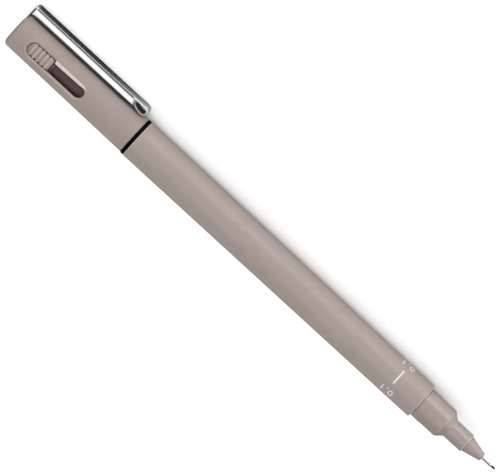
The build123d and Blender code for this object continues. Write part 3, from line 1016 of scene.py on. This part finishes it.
# %% Sealing cup and tongue
x_cup, x_tongue_end, _ = reach("inner_cap")
x_rim, cup_rim_r, cup_r, cup_bore = 106.8, 3.99, 3.4, 2.65
x_cup_floor, x_cup_end = 119.12, 120.22
cup_corners = [
    (x_cup_floor, 0, 0),
    (x_cup_floor, cup_bore, 0.3),
    (x_cup, cup_bore, 0.1),
    (x_cup, cup_rim_r, 0.1),
    (x_rim, cup_rim_r, 0.1),
    (x_rim, cup_r, 0.1),
    (x_cup_end, cup_r, 0.2),
    (x_cup_end, 0, 0),
]
tongue_half, tongue_r, tongue_root, tongue_sag = 2.45, 3.8, 0.5, 0.3
x_tongue_start = x_cup_end - tongue_root
edge_share = np.linspace(-1, 1, 17)
tongue_p = tongue_half * np.concatenate((edge_share, edge_share[::-1]))
tongue_ring = np.repeat((tongue_r, cup_bore), len(edge_share))
tongue_q = np.sqrt(tongue_ring**2 - tongue_p**2)
tongue_x = np.array((x_tongue_start, x_tongue_start, x_tongue_end, x_tongue_end))[:, None]
tongue_size = np.array((0, 1, 1, 0))[:, None]
tongue_mid = (tongue_r + cup_bore) / 2 - tongue_sag
tongue_lift = tongue_mid + tongue_size * (tongue_q - tongue_mid)
tongue = patch(grid(tongue_x, tongue_lift, tongue_size * tongue_p), loop_columns=True)
print(f"tongue from {x_tongue_start:.1f} to {x_tongue_end:.1f} mm")

# %% [markdown]
# ## Ribbed pad
#
# The pad is a height field over the window: its ribs are a rounded wave along the pen, its sides draw in
# at every groove, and its rear end is round and sinks away. A wave could also be a Displace modifier, but
# then the sides would not follow it. The crests get a value that paints them paler: a painted highlight.

# %% Ribbed pad
pad_front, pad_rear, pad_half, pad_sunk, pad_foot = 120.6, 127.9, 1.72, 0.12, 3.5
pad_close, pad_inside = 0.25, 0.3
first_rib, rib_pitch, rib_depth, groove_draw, groove_power = 121.5, 1.25, 0.3, 0.2, 1.6
ribbed_pitches, sunk_pitches = 4.5, 4.2
ribs_stop, ribs_fade = first_rib + ribbed_pitches * rib_pitch, 0.2
sink_start = first_rib + sunk_pitches * rib_pitch
sink_run, sink_depth, sink_power = 0.9, 0.5, 1.3
edge_drop, front_drop, front_run = 0.22, 0.2, 0.25
crest_highlight, crest_narrow, crest_edge = 0.55, 2.2, 1.15
even_x = np.linspace(pad_front, pad_rear - pad_close, 110)
closing_x = pad_rear - pad_close * np.linspace(1, 0, 9)[1:] ** 2
pad_x = np.concatenate((even_x, closing_x))[:, None]
wave = (0.5 - 0.5 * np.cos(2 * np.pi * (pad_x - first_rib) / rib_pitch)) ** groove_power
ribbed = np.clip((ribs_stop - pad_x) / ribs_fade, 0, 1)
sink = sink_depth * np.clip((pad_x - sink_start) / sink_run, 0, 1) ** sink_power
round_end = np.sqrt(np.clip(1 - np.clip((pad_x - pad_rear + pad_half) / pad_half, 0, 1) ** 2, 0, 1))
across = np.linspace(-1, 1, 33)
top_p = (pad_half - groove_draw * wave * ribbed) * round_end * across
front_fall = front_drop * np.clip(1 - (pad_x - pad_front) / front_run, 0, 1) ** 2
fall = rib_depth * wave * ribbed + sink + edge_drop * np.abs(across) ** 6 + front_fall
top_q = np.sqrt((taper(pad_x) - pad_sunk) ** 2 - top_p**2) - fall
pad_p = np.concatenate((top_p, top_p[:, ::-1]), 1) + window_aside
pad_q = np.concatenate((top_q, np.full_like(top_q, pad_foot)), 1)
# The crests are painted paler: a painted highlight.
crest = np.clip(1 - crest_narrow * wave, 0, 1) * ribbed * np.clip(crest_edge - np.abs(across) ** 8, 0, 1)
pad_highlight = np.concatenate((crest_highlight * crest, np.zeros_like(crest)), 1)
pad_middle = grid(pad_x[:1], np.full_like(pad_q[:1], pad_foot + pad_inside), window_aside)
pad_points = np.concatenate((pad_middle, grid(pad_x, pad_q, pad_p)))
pad = patch(pad_points, np.concatenate((0 * pad_highlight[:1], pad_highlight)), loop_columns=True)
lining_piece = make_piece("cup_and_pad", [turned(cup_corners), tongue, pad])
dress(lining_piece, lining, "cap", "liner_plastic", "inner_cap")

# %% [markdown]
# ## Chrome clip
#
# The clip is one strip of spring steel: an end plate let into the cap, a bend, an arm with its edges
# folded down into flanges, and a foot curled back under itself. A curve with a bevel object could sweep
# it, but only with one section all along. Here a path runs along its outer face, made of straight and
# round stretches, and at each stop it knows its own direction and how high the flanges stand there.

# %% Clip: path along the outer face
sheet, clip_half, flange_height = 0.35, 2.1, 1.75
clip_top, x_plate, plate_start, bend_r = 7.75, 132.95, 2.2, 0.75
flange_rear, flange_round, flange_front = 132.1, 0.4, 100.55
x_curl, curl_r = 96.943, 1.153
return_r, return_swing = 5.0, radians(32)
plate_stops, bend_stops, arm_stops = 6, 9, 60
bend_x, bend_p = x_plate - bend_r, clip_top - bend_r
curl_p = clip_top - curl_r
foot_p = clip_top - 2 * curl_r

plate_p = np.linspace(plate_start, bend_p, plate_stops)
bend_turn = np.linspace(0, np.pi / 2, bend_stops + 1)[1:]
corner = np.linspace(0, np.pi / 2, 8)
rear_x = flange_rear - flange_round * (1 - np.cos(corner))
rear_height = flange_height - flange_round * (1 - np.sin(corner))
flange_x = np.linspace(flange_rear - flange_round, flange_front, arm_stops)[1:]
arm_x = np.concatenate(((flange_rear,), rear_x, flange_x, (flange_front,)))
arm_height = np.concatenate(((sheet,), rear_height, np.full(arm_stops - 1, flange_height), (sheet,)))
curl_turn = np.pi / 2 + np.linspace(0, np.pi, 33)
return_turn = np.linspace(0, return_swing, 14)[1:] - np.pi / 2
return_p = foot_p + return_r * (1 + np.sin(return_turn))
stretches = [
    (np.full(plate_stops, x_plate), plate_p, np.zeros(plate_stops)),
    (bend_x + bend_r * np.cos(bend_turn), bend_p + bend_r * np.sin(bend_turn), bend_turn),
    (arm_x, np.full(len(arm_x), clip_top), np.full(len(arm_x), np.pi / 2)),
    (x_curl + curl_r * np.cos(curl_turn), curl_p + curl_r * np.sin(curl_turn), curl_turn),
    (x_curl + return_r * np.cos(return_turn), return_p, return_turn + 2 * np.pi),
]
path_x, path_p, path_turn = (np.concatenate(parts) for parts in zip(*stretches))
height = np.full(len(path_x), sheet)
arm_first = plate_stops + bend_stops
height[arm_first:arm_first + len(arm_x)] = arm_height
print(f"clip path: {len(path_x)} stops, foot front at {path_x.min():.2f} mm")

# %% [markdown]
# The section of the folded sheet is drawn at every stop of the path: how far it reaches to one side, and
# how deep it lies under the outer face. It runs from the middle of the outer face round the fold, down
# the flange, round its lip and back inside, and its mirror image gives the other half. Where the flanges
# end, their height falls to the sheet's own thickness, and their front edges lean forwards.

# %% Clip: folded section
corner_r, lip_r = 0.3, 0.05
arc = np.linspace(0, np.pi / 2, 13)
down = np.linspace(0, 1, 7)
web = np.linspace(0, 1, 7)
fold = height[:, None]
low = np.maximum(fold - lip_r, sheet)
section_line = [
    (web * (clip_half - corner_r), 0 * web),
    (clip_half - corner_r * (1 - np.sin(arc)), corner_r * (1 - np.cos(arc))),
    (clip_half + 0 * down, corner_r + down * (fold - lip_r - corner_r)),
    (clip_half - lip_r * (1 - np.cos(arc)), fold - lip_r * (1 - np.sin(arc))),
    (clip_half - sheet + lip_r * (1 - np.sin(arc)), low + (fold - low) * np.cos(arc)),
    (clip_half - sheet + 0 * down, low + down * (sheet - low)),
    (web[::-1] * (clip_half - sheet), sheet + 0 * web),
]
filled = [[part + 0 * fold for part in parts] for parts in zip(*section_line)]
side_out, side_depth = (np.concatenate(parts, 1) for parts in filled)
across = np.concatenate((side_out, -side_out[:, ::-1]), 1)
depth = np.concatenate((side_depth, side_depth[:, ::-1]), 1)
print(f"clip section: {across.shape[1]} points round")

# %% [markdown]
# The crease along the flanges is painted dark, a painted reflection of the fold, and the edges of the end
# plate are painted dark too. Handling dulls the outer face and the foot, more and more towards the foot.

# %% Clip: painted dark lines and sweep
crease_from, crease_full = radians(30), radians(60)
crease_fade_shares = (1, 0.35)
edge_slack = 0.02
flange_slant, slant_run = 0.8, 3.0
handled_most, handled_full, handled_none = 0.5, 0.097, 0.118
face_start, face_stop = 0.0073, 0.0076
foot_start, foot_stop = 0.1, 0.1006


def handling(tree, place):
    """Roughness from fingers, on the outer face and the foot: it grows evenly from none to most, forwards."""
    station = add_node(tree, "SeparateXYZ", {0: place}).outputs["X"]
    outwards = add_node(tree, "VectorMath", {0: place, 1: clip_way}, operation="DOT_PRODUCT").outputs["Value"]
    outer_face = spread(tree, outwards, 0, 1, face_start, face_stop)
    foot = spread(tree, station, 1, 0, foot_start, foot_stop)
    handled = spread(tree, station, handled_most, 0, handled_full, handled_none)
    return combine(tree, "MULTIPLY", handled, combine(tree, "MAXIMUM", outer_face, foot))


on_arm = path_x >= flange_front - edge_slack
near_front = np.clip(1 - (path_x - flange_front) / slant_run, 0, 1) * on_arm
slant = flange_slant * np.clip((depth - sheet) / (flange_height - sheet), 0, 1) * near_front[:, None] ** 2
# The crease along the fold is painted dark: a painted reflection.
on_fold = np.clip((arc - crease_from) / (crease_full - crease_from), 0, 1)
fold_shade = np.concatenate((0 * web, on_fold, crease_fade_shares))
crease = np.pad(fold_shade, (0, side_out.shape[1] - len(fold_shade))) * (fold > sheet)
cut_edge = (side_out > clip_half - edge_slack) * (path_x > flange_rear)[:, None]
dark_line = np.maximum(crease, cut_edge)
dark_line = np.concatenate((dark_line, dark_line[:, ::-1]), 1)
clip_x = path_x[:, None] - depth * np.cos(path_turn)[:, None] - slant
clip_p = path_p[:, None] - depth * np.sin(path_turn)[:, None]
strip = grid(clip_x, across, clip_p)
strip_ends = strip[[0, -1]].mean(axis=1, keepdims=True)
strip_ends = np.broadcast_to(strip_ends, (2, *strip.shape[1:]))
strip = np.concatenate((strip_ends[:1], strip, strip_ends[1:]))
dark_line = np.concatenate((dark_line[:1], dark_line, dark_line[-1:]))
clip = make_piece("folded_clip", [patch(strip, dark_line, loop_columns=True)])
chrome = bright_metal("polished chrome", (0.78, 0.78, 0.79, 1), clean=0.05, dull=0.1, handling=handling)
clip.data.materials.append(chrome)
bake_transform(clip)
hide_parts("clip_root", "clip_arm")

# %% [markdown]
# ## White ink
#
# Near the front the barrel carries its line width, 0.1, and a short bar, three times round so that one
# can be read from any side. Printed ink isn't an even white: it covers more in some places than in
# others, and a few specks of the grey show through. Both come from noise at two sizes.

# %% White ink
thin_ink, full_ink, bare_speck = paint(232, 228, 225), paint(247, 246, 244), paint(190, 178, 172)
white_ink, tree, shader = new_material("white ink", Specular_IOR_Level=0.3)
place = place_on(tree)
specks = noise(tree, place, scale=9000, detail=2.0)
cover = noise(tree, place, scale=1800, detail=3.0)
ink = mix(tree, spread(tree, cover, low=0, high=1), thin_ink, full_ink)
ink = mix(tree, spread(tree, specks, low=0, high=0.5, start=0.6, stop=0.8), ink, bare_speck)
tree.links.new(ink, shader.inputs["Base Color"])
tree.links.new(spread(tree, cover, low=0.45, high=0.6), shader.inputs["Roughness"])
roughen(tree, shader, specks, strength=0.1, distance=0.00001)
print(f"white ink: {len(tree.nodes)} nodes")

# %% [markdown]
# ## Printed marks
#
# The ink is a raised film: each stroke is a thin ribbon with round ends, drawn on the barrel's skin as if
# it were unrolled, then wrapped round it. Blender's Text object could set the number, but a text has to
# be turned into a mesh and bent, with ragged triangles. Ribbons stay even, and the strokes keep one
# width.

# %% Ribbons on the barrel
ink_high, ink_low = 0.015, -0.03
cap_steps = 5


def wrap(x, aside, height, centre):
    """Places unrolled points on the barrel: aside is measured along its skin, from the centre angle."""
    skin = front_r + (x - x_shoulder) / (x_tail - x_shoulder) * (tail_r - front_r)
    angle = centre + aside / skin
    return grid(x, (skin + height) * np.cos(angle), (skin + height) * np.sin(angle))


def stroke(path, width, centre, closed=False):
    """A ribbon along a path of (station, aside) points, which spreads half its width to both sides.

    An open path gets round ends: past each end the half width falls as the cosine while the path goes on as
    the sine of a quarter turn."""
    path = np.array(path, float)
    if closed:
        way = np.roll(path, -1, axis=0) - np.roll(path, 1, axis=0)
        size = np.ones(len(path))
    else:
        way = np.gradient(path, axis=0)
        cap_turn = np.linspace(0, np.pi / 2, cap_steps + 1)
        unit = way / np.linalg.norm(way, axis=1, keepdims=True)
        start = path[0] - unit[0] * width / 2 * np.sin(cap_turn[:0:-1, None])
        stop = path[-1] + unit[-1] * width / 2 * np.sin(cap_turn[1:, None])
        size = np.concatenate((np.cos(cap_turn[:0:-1]), np.ones(len(path)), np.cos(cap_turn[1:])))
        way = np.concatenate((np.repeat(way[:1], cap_steps, 0), way, np.repeat(way[-1:], cap_steps, 0)))
        path = np.concatenate((start, path, stop))
    way = way / np.linalg.norm(way, axis=1, keepdims=True)
    reach_out = (width / 2 * size)[:, None] * np.array((-1, 1, 1, -1))
    x = path[:, :1] - way[:, 1:] * reach_out
    aside = path[:, 1:] + way[:, :1] * reach_out
    height = np.broadcast_to((ink_high, ink_high, ink_low, ink_low), x.shape)
    return patch(wrap(x, aside, height, centre), loop_rows=closed, loop_columns=True)


print(f"ink stands {ink_high} mm high and reaches {-ink_low} mm into the skin")

# %% Bars and numbers
bar_turns = np.radians((23, 143, 263))
number_turns = np.radians((-33.5, 77, 204))
bar_station, bar_width, bar_half = 8.18, 0.46, 1.95
number_width, dot_width, tick_width = 0.3, 0.44, 0.24
zero_station, zero_half_wide, zero_half_high = 7.05, 0.5, 0.85
dot_start, dot_stop, dot_aside = 8.26, 8.32, 0.82
one_station, one_half = 9.65, 0.88
tick_station, tick_top, tick_low = 9.25, -0.86, -0.5
bar_path = np.stack((np.full(25, bar_station), np.linspace(-bar_half, bar_half, 25)), -1)
ring_turn = np.linspace(0, 2 * np.pi, 48, endpoint=False)
zero_x = zero_station + zero_half_wide * np.cos(ring_turn)
zero_path = np.stack((zero_x, zero_half_high * np.sin(ring_turn)), -1)
dot_path = [(dot_start, dot_aside), (dot_stop, dot_aside)]
one_path = np.stack((np.full(9, one_station), np.linspace(-one_half, one_half, 9)), -1)
tick_path = np.stack((np.linspace(one_station, tick_station, 5), np.linspace(tick_top, tick_low, 5)), -1)
marks = []
for bar_turn, number_turn in zip(bar_turns, number_turns):
    marks.append(stroke(bar_path, bar_width, bar_turn))
    marks.append(stroke(zero_path, number_width, number_turn, closed=True))
    marks.append(stroke(dot_path, dot_width, number_turn))
    marks.append(stroke(one_path, number_width, number_turn))
    marks.append(stroke(tick_path, tick_width, number_turn))
print_piece = make_piece("printed_marks", marks)
print_piece.data.materials.append(white_ink)
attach(print_piece, "barrel")


# %% [markdown]
# ## Ink store
#
# Wick, wad and film are inside the barrel and are only seen when the pen is cut open, so they keep their
# CAD shapes. Modelling single fibres would cost far more than it shows. They still get a finish of their
# own: fibres that run along the pen, black with ink, in a clear film.

# %% Fibres and film
def ink_fibre(name, dark, light):
    """Bonded fibres soaked with ink: a fine, dull streak along the pen."""
    material, tree, shader = new_material(name, Roughness=0.85, Specular_IOR_Level=0.2)
    fibres = streaks(tree, place_on(tree), along_scale=200.0, across_scale=6000.0, detail=3.0)
    tree.links.new(mix(tree, spread(tree, fibres, low=0, high=1), dark, light), shader.inputs["Base Color"])
    roughen(tree, shader, fibres, strength=0.4, distance=0.00006)
    return material


def clear_film(name):
    """Thin clear film: mostly see-through, with soft wrinkles in its gloss."""
    material, tree, shader = new_material(name, Base_Color=(0.75, 0.76, 0.78, 1), Alpha=0.5)
    wrinkles = noise(tree, place_on(tree), scale=500, detail=3.0)
    tree.links.new(spread(tree, wrinkles, low=0.08, high=0.2), shader.inputs["Roughness"])
    roughen(tree, shader, wrinkles, strength=0.2, distance=0.0001)
    return material


inside = {
    "ink_wick": ink_fibre("inky wick", (0.006, 0.006, 0.008, 1), (0.03, 0.03, 0.036, 1)),
    "ink_reservoir": ink_fibre("inky wad", (0.012, 0.012, 0.015, 1), (0.05, 0.05, 0.058, 1)),
    "reservoir_film": clear_film("clear film"),
}
for node, finish in inside.items():
    frame["nodes"][node].data.materials.clear()
    frame["nodes"][node].data.materials.append(finish)
print("finished inside:", ", ".join(inside))
